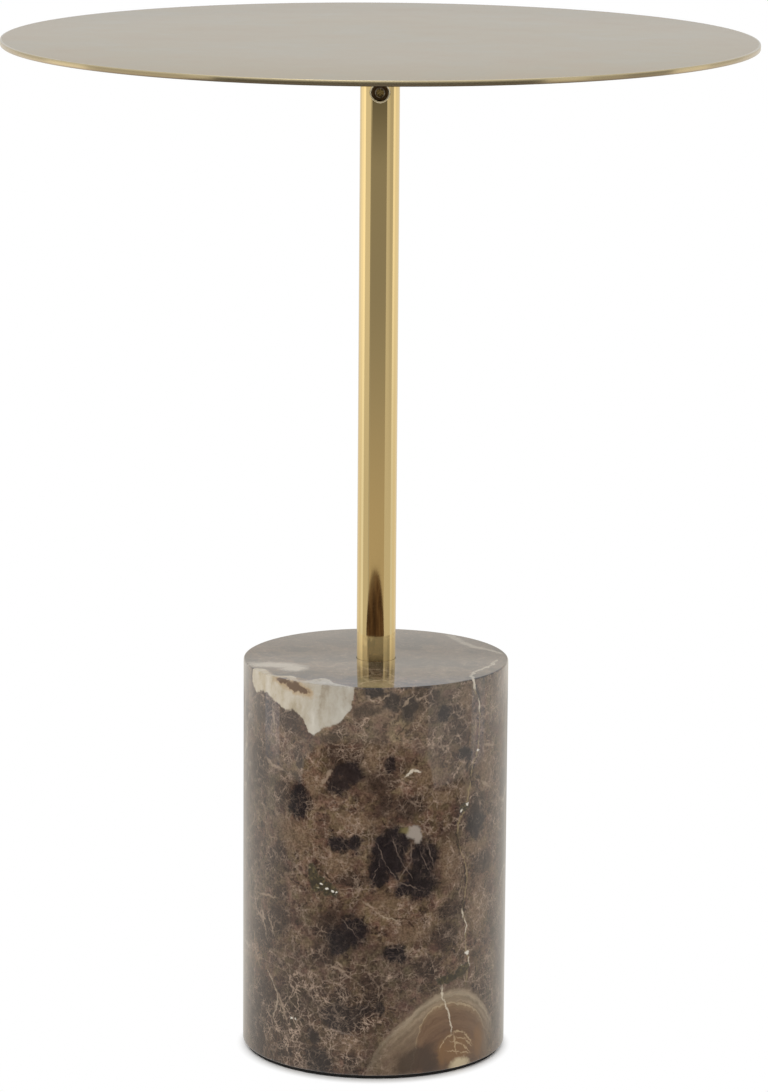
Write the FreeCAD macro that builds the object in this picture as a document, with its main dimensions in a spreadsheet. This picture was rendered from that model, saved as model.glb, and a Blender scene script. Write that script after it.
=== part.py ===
"""Side table: a thin round brass top on a polished brass tube that is clamped into a marble cylinder.

Millimetres, +Z up. The origin is the centre of the pad's underside, where the table meets the floor.
The lock screw below the top faces -Y, the side that the table is seen from.

How it goes together, from the floor up: a pad covers a recess in the underside of the marble. A nut in
that recess, with a spring washer and a plate washer, pulls on a tie rod. The rod runs up the marble's bore
into a plug that is brazed into the tube's foot, so it draws the tube down on a gasket in the marble's seat.
At the upper end a spigot hangs from a disc under the brass top. The tube slides over the spigot up to the
disc, and one socket screw keys the two together.
"""

import FreeCAD
import Part
import os
import re
from enum import IntEnum
from math import cos, radians

import Sketcher
from FreeCAD import Placement, Rotation, Vector

# Each driving dimension: its alias in the sheet, its size in millimetres, and what it measures.
DIMENSIONS = [
    ("overall_height", 550, "floor to the upper face of the top"),
    # brass top
    ("top_diameter", 400, "brass top, across"),
    ("top_thickness", 3, "brass sheet of the top"),
    ("top_edge_chamfer", 0.3, "chamfer along both edges of the top's rim"),
    # disc that stiffens the top and carries the spigot
    ("disc_diameter", 90, "mount disc, across"),
    ("disc_thickness", 3, "mount disc, through"),
    ("disc_edge_chamfer", 1, "chamfer round the mount disc's lower edge"),
    # spigot that hangs from the disc into the tube
    ("spigot_length", 45, "spigot below the mount disc"),
    ("spigot_clearance", 0.1, "gap all round between spigot and tube"),
    ("spigot_lead", 1.5, "lead-in chamfer at the spigot's lower end"),
    ("tenon_diameter", 10, "spigot's tenon, held in the mount disc"),
    ("tenon_clearance", 0.05, "gap all round the tenon"),
    # tube
    ("stem_diameter", 21, "tube, outside"),
    ("stem_wall", 1.5, "tube wall"),
    ("stem_end_chamfer", 0.3, "chamfer round the outside of the tube's ends"),
    # socket screw that locks the top to the tube
    ("screw_drop", 24.5, "underside of the top to the screw's axis"),
    ("screw_sink", 0.8, "screw's face below the tube's surface"),
    ("screw_head_diameter", 8.7, "screw head, across"),
    ("screw_head_height", 4, "screw head, along the axis"),
    ("screw_head_chamfer", 0.5, "chamfer round the screw's face"),
    ("screw_diameter", 6, "screw thread, outside"),
    ("screw_length", 10, "screw below its head"),
    ("screw_point_chamfer", 0.8, "chamfer at the screw's point"),
    ("socket_width", 4, "hexagon socket, across flats"),
    ("socket_depth", 2.4, "hexagon socket, deep"),
    ("socket_mouth_diameter", 4.9, "countersink round the socket's mouth, across"),
    ("socket_mouth_depth", 1.4, "that countersink, down to where its cone would end"),
    ("screw_head_clearance", 0.15, "gap all round the screw head"),
    ("screw_rim_round", 0.7, "round along the rim of the tube's screw hole"),
    # plug in the tube's foot, and the rod that it holds
    ("plug_length", 32, "foot plug, along the tube"),
    ("plug_clearance", 0.05, "brazing gap all round the plug"),
    ("plug_lead", 1, "lead-in chamfer at the plug's upper end"),
    ("rod_diameter", 10, "tie rod thread, outside"),
    ("rod_engagement", 26, "rod inside the plug"),
    ("rod_projection", 4, "rod below the nut"),
    ("rod_end_chamfer", 1, "chamfer at both ends of the rod"),
    ("thread_clearance", 0.1, "gap all round a thread in its tapped hole"),
    # marble
    ("base_diameter", 143, "marble, across"),
    ("base_height", 213.5, "marble, tall"),
    ("base_arris", 0.8, "arris: the chamfer along the marble's upper and lower edges"),
    ("base_bore", 12, "bore for the tie rod"),
    ("seat_depth", 8, "seat for the tube's foot, deep"),
    ("seat_clearance", 0.2, "gap all round the tube in its seat"),
    ("recess_diameter", 52, "recess for the nut and washers, across"),
    ("recess_depth", 26, "recess for the nut and washers, deep"),
    # gasket, washers and nut
    ("gasket_thickness", 1, "fibre gasket below the tube's foot"),
    ("plate_washer_diameter", 46, "plate washer, across"),
    ("plate_washer_thickness", 4, "plate washer, through"),
    ("plate_washer_chamfer", 0.6, "chamfer round the plate washer's lower edge"),
    ("washer_clearance", 0.5, "gap all round the rod in both washers"),
    ("spring_washer_diameter", 18, "spring washer, across"),
    ("spring_washer_thickness", 2.2, "spring washer, pressed flat"),
    ("spring_washer_slit", 1.6, "slit in the spring washer"),
    ("spring_washer_slant", 1.2, "how far the slit leans over the washer's thickness"),
    ("nut_width", 17, "nut, across flats"),
    ("nut_height", 8, "nut, along the rod"),
    ("nut_chamfer_share", 0.55, "slope of the nut's corner chamfers, height over reach"),
    # pad
    ("pad_thickness", 2, "pad under the marble"),
    ("pad_inset", 2, "pad's edge inside the marble's edge"),
]

# Sizes and heights that several pieces share, as formulas of the driving dimensions.
BASE_TOP = "(pad_thickness + base_height)"
TOP_UNDERSIDE = "(overall_height - top_thickness)"
DISC_UNDERSIDE = f"({TOP_UNDERSIDE} - disc_thickness)"
STEM_FOOT = f"({BASE_TOP} - seat_depth + gasket_thickness)"
STEM_LENGTH = f"({DISC_UNDERSIDE} - {STEM_FOOT})"
STEM_BORE = "(stem_diameter - 2 * stem_wall)"
SEAT_DIAMETER = "(stem_diameter + 2 * seat_clearance)"
SCREW_HEIGHT = f"({TOP_UNDERSIDE} - screw_drop)"
SCREW_HOLE = "(screw_head_diameter + 2 * screw_head_clearance)"
SCREW_FACE = "(stem_diameter / 2 - screw_sink)"
SCREW_BEARING = f"({SCREW_FACE} - screw_head_height)"
WASHER_BORE = "(rod_diameter + 2 * washer_clearance)"
TAPPED_BORE = "(rod_diameter + 2 * thread_clearance)"
RECESS_CEILING = "(pad_thickness + recess_depth)"
PLATE_WASHER_UNDERSIDE = f"({RECESS_CEILING} - plate_washer_thickness)"
SPRING_WASHER_UNDERSIDE = f"({PLATE_WASHER_UNDERSIDE} - spring_washer_thickness)"
NUT_UNDERSIDE = f"({SPRING_WASHER_UNDERSIDE} - nut_height)"
ROD_FOOT = f"({NUT_UNDERSIDE} - rod_projection)"
ROD_LENGTH = f"({STEM_FOOT} + rod_engagement - {ROD_FOOT})"

# How near an edge has to be to a radius or height to count as lying on it.
MATCH = 1e-4


class Datum(IntEnum):
    """A sketch's own numbers for its two axes. The first of them starts at the origin."""

    ACROSS_AXIS = -1
    UP_AXIS = -2


class Spot(IntEnum):
    """A sketch's own numbers for the ends of a line and the centre of a circle."""

    START = 1
    END = 2
    CENTRE = 3


ORIGIN = (Datum.ACROSS_AXIS, Spot.START)

doc = FreeCAD.newDocument("side_table")
dims = doc.addObject("Spreadsheet::Sheet", "dims")


def fill_sheet():
    """Writes the driving dimensions into the sheet, one row each: what it measures, and its size."""
    for row, (alias, size, meaning) in enumerate(DIMENSIONS, start=1):
        dims.set(f"A{row}", meaning)
        dims.set(f"B{row}", str(size))
        dims.setAlias(f"B{row}", alias)
    doc.recompute()


def formula(text):
    """The text as an expression, with the sheet's name before each alias."""
    return re.sub(r"[a-z]\w+", lambda word: f"dims.{word.group()}", text)


def value(text):
    """What a formula comes to, in millimetres."""
    return float(dims.evalExpression(formula(text)))


def new_body(name, height="0", turn=Rotation()):
    """A body for one piece, set at a height on the table's axis."""
    body = doc.addObject("PartDesign::Body", name)
    body.Label = name
    body.Placement = Placement(Vector(), turn)
    body.setExpression("Placement.Base.z", formula(height))
    return body


def new_sketch(body, name, plane="XY_Plane", offset="0"):
    """A sketch on one of the body's own planes, moved along the plane's normal by a formula."""
    sketch = body.newObject("Sketcher::SketchObject", name)
    support = next(f for f in body.Origin.OriginFeatures if f.Role == plane)
    sketch.AttachmentSupport = [(support, "")]
    sketch.MapMode = "FlatFace"
    sketch.setExpression("AttachmentOffset.Base.z", formula(offset))
    return sketch


def tie(sketch, name, size, kind, *places):
    """Adds a named constraint whose size follows a formula."""
    index = sketch.addConstraint(Sketcher.Constraint(kind, *places, value(size)))
    sketch.renameConstraint(index, name)
    sketch.setExpression(f"Constraints.{name}", formula(size))


def fix_point(sketch, name, line, end, across, up):
    """Holds one end of a line, or a circle's centre, at a distance across and up from the origin."""
    if across == "0":
        sketch.addConstraint(Sketcher.Constraint("PointOnObject", line, end, Datum.UP_AXIS))
    else:
        tie(sketch, f"{name}_across", across, "DistanceX", *ORIGIN, line, end)
    if up == "0":
        sketch.addConstraint(Sketcher.Constraint("PointOnObject", line, end, Datum.ACROSS_AXIS))
    else:
        tie(sketch, f"{name}_up", up, "DistanceY", *ORIGIN, line, end)


def add_circle(sketch, name, diameter, up="0"):
    """A circle on the sketch's vertical axis."""
    centre = Vector(0, value(up), 0)
    circle = sketch.addGeometry(Part.Circle(centre, Vector(0, 0, 1), value(diameter) / 2))
    fix_point(sketch, name, circle, Spot.CENTRE, "0", up)
    tie(sketch, f"{name}_diameter", diameter, "Diameter", circle)


def add_outline(sketch, name, corners):
    """A closed outline of straight lines through corners, each a pair of formulas, across and up."""
    points = [Vector(value(across), value(up), 0) for across, up in corners]
    lines = [
        sketch.addGeometry(Part.LineSegment(start, end))
        for start, end in zip(points, points[1:] + points[:1])
    ]
    for line, following in zip(lines, lines[1:] + lines[:1]):
        sketch.addConstraint(Sketcher.Constraint("Coincident", line, Spot.END, following, Spot.START))
    for number, (line, (across, up)) in enumerate(zip(lines, corners), start=1):
        fix_point(sketch, f"{name}_{number}", line, Spot.START, across, up)


def add_hexagon(sketch, width):
    """A regular hexagon about the origin, two of its flats level, measured across flats."""
    reach = value(width) / 2 / cos(radians(30))
    corner = Vector(reach, 0, 0)
    corners = [Rotation(Vector(0, 0, 1), 60 * n).multVec(corner) for n in range(-2, 4)]
    lines = [
        sketch.addGeometry(Part.LineSegment(start, end))
        for start, end in zip(corners, corners[1:] + corners[:1])
    ]
    circle = sketch.addGeometry(Part.Circle(Vector(), Vector(0, 0, 1), reach), True)
    sketch.addConstraint(Sketcher.Constraint("Coincident", circle, Spot.CENTRE, *ORIGIN))
    for line, following in zip(lines, lines[1:] + lines[:1]):
        sketch.addConstraint(Sketcher.Constraint("Coincident", line, Spot.END, following, Spot.START))
        sketch.addConstraint(Sketcher.Constraint("PointOnObject", line, Spot.START, circle))
    for line in lines[1:]:
        sketch.addConstraint(Sketcher.Constraint("Equal", lines[0], line))
    sketch.addConstraint(Sketcher.Constraint("Horizontal", lines[0]))
    tie(sketch, "half_width", f"{width} / 2", "DistanceY", lines[0], Spot.START, *ORIGIN)


def add_feature(body, kind, name, sketch, **settings):
    """A feature made from a sketch, turned about the sketch's vertical axis if it is a turned one."""
    feature = body.newObject(f"PartDesign::{kind}", name)
    feature.Profile = sketch
    if kind in ("Revolution", "Groove"):
        feature.ReferenceAxis = (sketch, ["V_Axis"])
    for setting, wanted in settings.items():
        setattr(feature, setting, wanted)
    return feature


def pad(body, name, sketch, length):
    """Raises a sketch by a length."""
    feature = add_feature(body, "Pad", name, sketch)
    feature.setExpression("Length", formula(length))
    doc.recompute()
    return feature


def revolve(body, name, sketch):
    """Turns a sketch about its vertical axis."""
    feature = add_feature(body, "Revolution", name, sketch)
    doc.recompute()
    return feature


def cut(body, kind, name, sketch, depth=None, **settings):
    """A pocket or groove, to a depth or right through, that has to take something off the body."""
    before = body.Shape.Volume
    feature = add_feature(body, kind, name, sketch, **settings)
    if depth:
        feature.setExpression("Length", formula(depth))
    elif kind == "Pocket":
        feature.Type = "ThroughAll"
    doc.recompute()
    if not body.Shape.Volume < before:
        raise RuntimeError(f"{name} takes nothing off {body.Label}")
    return feature


def soften(body, kind, name, edges, size):
    """A fillet or chamfer along edges of the body's last feature."""
    base = body.Tip
    feature = body.newObject(f"PartDesign::{kind}", name)
    feature.Base = (base, edges)
    feature.setExpression("Radius" if kind == "Fillet" else "Size", formula(size))
    doc.recompute()
    return feature


def ring_edges(body, diameter, *heights):
    """Names of the round edges about the body's axis that have a diameter and lie at the given heights."""
    radius = value(diameter) / 2
    levels = [value(height) for height in heights]
    found = []
    for number, edge in enumerate(body.Tip.Shape.Edges, start=1):
        curve = edge.Curve
        if not isinstance(curve, Part.Circle) or abs(curve.Radius - radius) > MATCH:
            continue
        if any(abs(curve.Center.z - level) < MATCH for level in levels):
            found.append(f"Edge{number}")
    if len(found) != len(levels):
        raise RuntimeError(f"{body.Label} has {len(found)} edges of {diameter}, not {len(levels)}")
    return found


def make_ring(name, height, outside, inside, thickness):
    """A body that is one flat ring: a washer, a gasket or a length of tube."""
    body = new_body(name, height)
    sketch = new_sketch(body, f"{name}_section")
    add_circle(sketch, "outside", outside)
    add_circle(sketch, "inside", inside)
    pad(body, f"{name}_ring", sketch, thickness)
    return body


def make_table_top():
    """Brass sheet cut to a disc, with both edges of the rim broken."""
    body = new_body("table_top", TOP_UNDERSIDE)
    sketch = new_sketch(body, "top_outline")
    add_circle(sketch, "top", "top_diameter")
    pad(body, "top_sheet", sketch, "top_thickness")
    rim = ring_edges(body, "top_diameter", "0", "top_thickness")
    soften(body, "Chamfer", "top_rim", rim, "top_edge_chamfer")
    return body


def make_mount_disc():
    """Disc brazed flat under the top, with a hole for the spigot's tenon."""
    hole = "(tenon_diameter + 2 * tenon_clearance)"
    body = make_ring("mount_disc", DISC_UNDERSIDE, "disc_diameter", hole, "disc_thickness")
    soften(body, "Chamfer", "disc_edge", ring_edges(body, "disc_diameter", "0"), "disc_edge_chamfer")
    return body


def make_top_spigot():
    """Turned bar that the tube slides over: tenon above, lead-in below, tapped across for the lock screw."""
    body = new_body("top_spigot", f"{DISC_UNDERSIDE} - spigot_length")
    radius = f"({STEM_BORE} / 2 - spigot_clearance)"
    profile = new_sketch(body, "spigot_profile", "XZ_Plane")
    add_outline(
        profile,
        "bar",
        [
            ("0", "0"),
            (f"{radius} - spigot_lead", "0"),
            (radius, "spigot_lead"),
            (radius, "spigot_length"),
            ("tenon_diameter / 2", "spigot_length"),
            ("tenon_diameter / 2", "spigot_length + disc_thickness"),
            ("0", "spigot_length + disc_thickness"),
        ],
    )
    revolve(body, "spigot_bar", profile)
    up = f"{SCREW_HEIGHT} - ({DISC_UNDERSIDE} - spigot_length)"
    head = new_sketch(body, "head_seat", "XZ_Plane", SCREW_BEARING)
    add_circle(head, "head", SCREW_HOLE, up)
    cut(body, "Pocket", "head_counterbore", head, Reversed=True)
    thread = new_sketch(body, "thread_hole", "XZ_Plane")
    add_circle(thread, "thread", "(screw_diameter + 2 * thread_clearance)", up)
    cut(body, "Pocket", "tapped_hole", thread, SideType="Symmetric")
    return body


def make_lock_screw():
    """Low-headed socket screw, modelled point down and then turned to face the front."""
    facing_front = Rotation(Vector(1, 0, 0), 90)
    body = new_body("lock_screw", SCREW_HEIGHT, facing_front)
    point = f"({SCREW_BEARING} - screw_length)"
    profile = new_sketch(body, "screw_profile", "XZ_Plane")
    add_outline(
        profile,
        "screw",
        [
            ("0", point),
            ("screw_diameter / 2 - screw_point_chamfer", point),
            ("screw_diameter / 2", f"{point} + screw_point_chamfer"),
            ("screw_diameter / 2", SCREW_BEARING),
            ("screw_head_diameter / 2", SCREW_BEARING),
            ("screw_head_diameter / 2", f"{SCREW_FACE} - screw_head_chamfer"),
            ("screw_head_diameter / 2 - screw_head_chamfer", SCREW_FACE),
            ("0", SCREW_FACE),
        ],
    )
    revolve(body, "screw_turning", profile)
    socket = new_sketch(body, "socket_outline", "XY_Plane", SCREW_FACE)
    add_hexagon(socket, "socket_width")
    cut(body, "Pocket", "hexagon_socket", socket, "socket_depth")
    mouth = new_sketch(body, "socket_mouth", "XZ_Plane")
    add_outline(
        mouth,
        "mouth",
        [
            ("0", f"{SCREW_FACE} - socket_mouth_depth"),
            ("socket_mouth_diameter / 2", SCREW_FACE),
            ("0", SCREW_FACE),
        ],
    )
    cut(body, "Groove", "socket_countersink", mouth)
    return body


def make_stem_tube():
    """Brass tube with chamfered ends and a hole in its front wall for the lock screw's head."""
    body = make_ring("stem_tube", STEM_FOOT, "stem_diameter", STEM_BORE, STEM_LENGTH)
    ends = ring_edges(body, "stem_diameter", "0", STEM_LENGTH)
    soften(body, "Chamfer", "stem_ends", ends, "stem_end_chamfer")
    hole = new_sketch(body, "screw_hole", "XZ_Plane")
    add_circle(hole, "hole", SCREW_HOLE, f"{SCREW_HEIGHT} - {STEM_FOOT}")
    cut(body, "Pocket", "screw_hole_cut", hole, Reversed=True)
    outside = value("stem_diameter") / 2
    rim = [
        f"Edge{number}"
        for number, edge in enumerate(body.Tip.Shape.Edges, start=1)
        if not isinstance(edge.Curve, (Part.Circle, Part.Line))
        and abs(Vector(edge.Vertexes[0].X, edge.Vertexes[0].Y, 0).Length - outside) < MATCH
    ]
    soften(body, "Fillet", "screw_hole_rim", rim, "screw_rim_round")
    return body


def make_foot_plug():
    """Tapped plug brazed into the tube's foot, flush with the tube's end."""
    outside = f"({STEM_BORE} - 2 * plug_clearance)"
    body = make_ring("foot_plug", STEM_FOOT, outside, TAPPED_BORE, "plug_length")
    soften(body, "Chamfer", "plug_lead_in", ring_edges(body, outside, "plug_length"), "plug_lead")
    return body


def make_tie_rod():
    """Rod from the nut in the marble's recess up into the foot plug, chamfered at both ends."""
    body = new_body("tie_rod", ROD_FOOT)
    sketch = new_sketch(body, "rod_section")
    add_circle(sketch, "rod", "rod_diameter")
    pad(body, "rod_bar", sketch, ROD_LENGTH)
    ends = ring_edges(body, "rod_diameter", "0", ROD_LENGTH)
    soften(body, "Chamfer", "rod_ends", ends, "rod_end_chamfer")
    return body


def make_marble_base():
    """Marble cylinder: seat for the tube above, bore for the rod, recess for the nut below."""
    body = new_body("marble_base", "pad_thickness")
    block = new_sketch(body, "block_outline")
    add_circle(block, "block", "base_diameter")
    pad(body, "marble_block", block, "base_height")
    edges = ring_edges(body, "base_diameter", "0", "base_height")
    soften(body, "Chamfer", "arrises", edges, "base_arris")
    seat = new_sketch(body, "seat_outline", "XY_Plane", "base_height")
    add_circle(seat, "seat", SEAT_DIAMETER)
    cut(body, "Pocket", "tube_seat", seat, "seat_depth")
    recess = new_sketch(body, "recess_outline")
    add_circle(recess, "recess", "recess_diameter")
    cut(body, "Pocket", "nut_recess", recess, "recess_depth", Reversed=True)
    bore = new_sketch(body, "bore_outline", "XY_Plane", "base_height")
    add_circle(bore, "bore", "base_bore")
    cut(body, "Pocket", "rod_bore", bore)
    return body


def make_seat_gasket():
    """Fibre ring that keeps the tube's foot off the stone."""
    return make_ring(
        "seat_gasket", f"{STEM_FOOT} - gasket_thickness", "stem_diameter", "base_bore", "gasket_thickness"
    )


def make_plate_washer():
    """Broad washer that spreads the nut's pull over the recess's ceiling."""
    body = make_ring(
        "plate_washer",
        PLATE_WASHER_UNDERSIDE,
        "plate_washer_diameter",
        WASHER_BORE,
        "plate_washer_thickness",
    )
    edge = ring_edges(body, "plate_washer_diameter", "0")
    soften(body, "Chamfer", "plate_washer_edge", edge, "plate_washer_chamfer")
    return body


def make_spring_washer():
    """Spring washer pressed flat, with a slanted slit at the front."""
    body = make_ring(
        "spring_washer",
        SPRING_WASHER_UNDERSIDE,
        "spring_washer_diameter",
        WASHER_BORE,
        "spring_washer_thickness",
    )
    slit = new_sketch(body, "slit_outline", "XZ_Plane")
    add_outline(
        slit,
        "slit",
        [
            ("0", "0"),
            ("spring_washer_slit", "0"),
            ("spring_washer_slit + spring_washer_slant", "spring_washer_thickness"),
            ("spring_washer_slant", "spring_washer_thickness"),
        ],
    )
    cut(body, "Pocket", "slit_cut", slit, Reversed=True)
    return body


def make_clamp_nut():
    """Hexagon nut with its corners chamfered above and below."""
    body = new_body("clamp_nut", NUT_UNDERSIDE)
    sketch = new_sketch(body, "nut_outline")
    add_hexagon(sketch, "nut_width")
    add_circle(sketch, "nut_bore", TAPPED_BORE)
    pad(body, "nut_prism", sketch, "nut_height")
    rise = "(nut_width / 2 * nut_chamfer_share)"
    corners = new_sketch(body, "nut_corners", "XZ_Plane")
    for name, face, inward in (("lower", "0", rise), ("upper", "nut_height", f"nut_height - {rise}")):
        add_outline(
            corners, name, [("nut_width / 2", face), ("nut_width", face), ("nut_width", inward)]
        )
    cut(body, "Groove", "nut_chamfers", corners)
    return body


def make_base_pad():
    """Soft pad glued to the marble's underside, over the recess."""
    body = new_body("base_pad")
    sketch = new_sketch(body, "pad_outline")
    add_circle(sketch, "pad", "(base_diameter - 2 * pad_inset)")
    pad(body, "pad_sheet", sketch, "pad_thickness")
    return body


def write(pieces):
    """Stops at any failed feature or bad shape, then writes each piece to its own STEP file."""
    doc.recompute()
    for thing in doc.Objects:
        if {"Invalid", "Error"} & set(thing.State):
            raise RuntimeError(f"{thing.Label} failed: {thing.State}")
    for piece in pieces:
        if piece.Shape.isNull() or not piece.Shape.isValid() or len(piece.Shape.Solids) != 1:
            raise RuntimeError(f"{piece.Label} isn't one good solid")
    os.makedirs("parts", exist_ok=True)
    for piece in pieces:
        piece.Shape.exportStep(os.path.join("parts", f"{piece.Label}.step"))


fill_sheet()
write(
    [
        make_table_top(),
        make_mount_disc(),
        make_top_spigot(),
        make_lock_screw(),
        make_stem_tube(),
        make_foot_plug(),
        make_tie_rod(),
        make_marble_base(),
        make_seat_gasket(),
        make_plate_washer(),
        make_spring_washer(),
        make_clamp_nut(),
        make_base_pad(),
    ]
)
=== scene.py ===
"""Looks of a round side table: a satin brass top on a polished brass tube in a polished marble base."""
import math
from functools import partial
from types import SimpleNamespace

import bpy
from mathutils import Matrix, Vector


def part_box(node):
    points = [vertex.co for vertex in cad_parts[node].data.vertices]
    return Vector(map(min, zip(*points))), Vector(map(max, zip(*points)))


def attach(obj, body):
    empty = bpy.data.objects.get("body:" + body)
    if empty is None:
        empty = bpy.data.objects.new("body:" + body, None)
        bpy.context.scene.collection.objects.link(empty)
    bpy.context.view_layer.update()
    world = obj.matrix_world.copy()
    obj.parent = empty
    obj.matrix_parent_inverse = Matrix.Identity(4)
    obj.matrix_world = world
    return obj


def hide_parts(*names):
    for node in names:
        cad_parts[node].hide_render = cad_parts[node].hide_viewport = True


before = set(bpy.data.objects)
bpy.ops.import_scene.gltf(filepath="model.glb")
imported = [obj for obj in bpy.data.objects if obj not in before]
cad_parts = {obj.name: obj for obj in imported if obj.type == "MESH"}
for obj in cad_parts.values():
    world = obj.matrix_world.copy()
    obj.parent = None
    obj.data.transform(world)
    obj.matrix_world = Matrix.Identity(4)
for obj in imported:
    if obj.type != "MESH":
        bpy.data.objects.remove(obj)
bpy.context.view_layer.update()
MM = 0.001


def linear(hex_colour):
    """An sRGB hex colour as linear red, green, blue and alpha."""
    parts = [int(hex_colour[i:i + 2], 16) / 255 for i in (1, 3, 5)]
    return [p / 12.92 if p <= 0.04045 else ((p + 0.055) / 1.055) ** 2.4 for p in parts] + [1.0]


def add_node(tree, kind, inputs=None, **settings):
    """Adds a node with its settings, and sets or links its inputs, which go by name or by number. A hex
    colour is made linear."""
    node = tree.nodes.new("ShaderNode" + kind)
    for name, value in settings.items():
        setattr(node, name, value)
    for name, value in (inputs or {}).items():
        if isinstance(name, str):
            socket = next(s for s in node.inputs if s.enabled and s.name == name)
        else:
            socket = node.inputs[name]
        if isinstance(value, bpy.types.Node):
            value = next(s for s in value.outputs if s.enabled)
        if isinstance(value, bpy.types.NodeSocket):
            tree.links.new(value, socket)
        else:
            socket.default_value = linear(value) if isinstance(value, str) else value
    return node


def make_material(name, build, *details):
    """A material whose surface is what a function builds, with the function above bound to its nodes."""
    material = bpy.data.materials.new(name)
    material.use_nodes = True
    material.node_tree.nodes.clear()
    add = partial(add_node, material.node_tree)
    add("OutputMaterial", {"Surface": build(add, *details)})
    return material


def millimetres(add):
    """Where the point lies in the table's own frame, in millimetres."""
    place = add("TexCoord").outputs["Object"]
    return add("VectorMath", {0: place, "Scale": 1 / MM}, operation="SCALE")


def set_stops(ramp, stops):
    """Gives a colour ramp its stops, each a place from 0 to 1 and an sRGB hex colour."""
    elements = ramp.color_ramp.elements
    while len(elements) < len(stops):
        elements.new(1.0)
    for element, (place, colour) in zip(elements, stops):
        element.position = place
        element.color = linear(colour)
    return ramp


def set_bends(curve, bends):
    """Gives a float curve its points."""
    points = curve.mapping.curves[0].points
    while len(points) < len(bends):
        points.new(0.5, 0.5)
    for point, bend in zip(points, bends):
        point.location = bend
    curve.mapping.use_clip = False
    curve.mapping.update()
    return curve


# Camera, at the photograph's angle

PHOTO_LONG_SIDE = 1092
FOCAL_PIXELS = 4903.0
CAMERA_BACK = 2.5829
CAMERA_UP = 0.8146
CAMERA_PITCH = 0.2052
CAMERA_TURN = 0.0015
CAMERA_ROLL = 0.0075


def set_camera():
    data = bpy.data.cameras.new("photo_camera")
    data.lens = FOCAL_PIXELS / PHOTO_LONG_SIDE * data.sensor_width
    camera = bpy.data.objects.new("photo_camera", data)
    bpy.context.scene.collection.objects.link(camera)
    camera.matrix_world = (
        Matrix.Translation((0, -CAMERA_BACK, CAMERA_UP))
        @ Matrix.Rotation(-CAMERA_TURN, 4, "Z")
        @ Matrix.Rotation(math.pi / 2 - CAMERA_PITCH, 4, "X")
        @ Matrix.Rotation(CAMERA_ROLL, 4, "Z")
    )
    bpy.context.scene.camera = camera


# Meshes

def make_piece(name, points, faces, material, smooth_below=30):
    """A mesh object, smooth but for edges sharper than smooth_below degrees."""
    mesh = bpy.data.meshes.new(name)
    mesh.from_pydata(points, [], faces)
    mesh.validate()
    mesh.polygons.foreach_set("use_smooth", [True] * len(mesh.polygons))
    mesh.set_sharp_from_angle(angle=math.radians(smooth_below))
    mesh.materials.append(material)
    piece = bpy.data.objects.new(name, mesh)
    bpy.context.scene.collection.objects.link(piece)
    return piece


def round_corner(centre, radius, start, end, steps=5):
    """Points of an arc in the plane of radius and height, between two angles in degrees."""
    angles = [math.radians(start + (end - start) * i / steps) for i in range(steps + 1)]
    return [(centre[0] + radius * math.cos(a), centre[1] + radius * math.sin(a)) for a in angles]


def turn_on_lathe(name, profile, material, sides=256):
    """Turns a profile of (radius, height), open at the axis or closed on itself, about the Z axis."""
    points = []
    rows = []
    for radius, height in profile:
        count = sides if radius > 0 else 1
        rows.append(range(len(points), len(points) + count))
        for i in range(count):
            angle = 2 * math.pi * i / count
            points.append((radius * math.cos(angle), radius * math.sin(angle), height))
    on_axis = profile[0][0] == 0
    pairs = list(zip(rows, rows[1:] if on_axis else rows[1:] + rows[:1]))
    faces = []
    for low, high in pairs:
        for i in range(sides):
            j = (i + 1) % sides
            ring = [low[i % len(low)], low[j % len(low)], high[j % len(high)], high[i % len(high)]]
            faces.append(list(dict.fromkeys(ring)))
    return make_piece(name, points, faces, material)


def seat(piece, node):
    """Puts a piece in the place of a CAD node."""
    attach(piece, "root")
    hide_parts(node)


# Sizes read from the frame, in metres

TOP_LOW, TOP_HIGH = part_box("table_top")
TOP_RADIUS = min(TOP_HIGH.x, -TOP_LOW.x)
MARBLE_LOW, MARBLE_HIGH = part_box("marble_base")
MARBLE_RADIUS = MARBLE_HIGH.x
TUBE_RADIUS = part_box("stem_tube")[1].x
SCREW_LOW, SCREW_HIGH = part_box("lock_screw")
SCREW_HEIGHT = (SCREW_LOW.z + SCREW_HIGH.z) / 2
SEAT_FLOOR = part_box("seat_gasket")[0].z
RECESS_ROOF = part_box("plate_washer")[1].z

# Metals

SATIN_BRASS = "#BBA676"
SATIN_BRASS_OLIVE = "#B6A475"
SATIN_BRASS_ROSE = "#BDA679"
BRIGHT_BRASS = "#DCCBA0"
TARNISHED_EDGE = "#A09078"
POLISHED_BRASS = "#EDD69E"
CLOUD_SIZE = 38
GRAIN_SIZE = 1.6
RIM_WIDTH = 1.2
# Pale colour of the painted highlight round the tube's screw hole
BROKEN_EDGE = "#F6E9C8"
BARE_STEEL = "#D8CFBC"
# Golden colour of the painted glints inside the screw's socket
OILY_STEEL = "#D9BF80"
SOCKET_MOUTH = 2.35
RIM_REACH = 5.45


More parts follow.
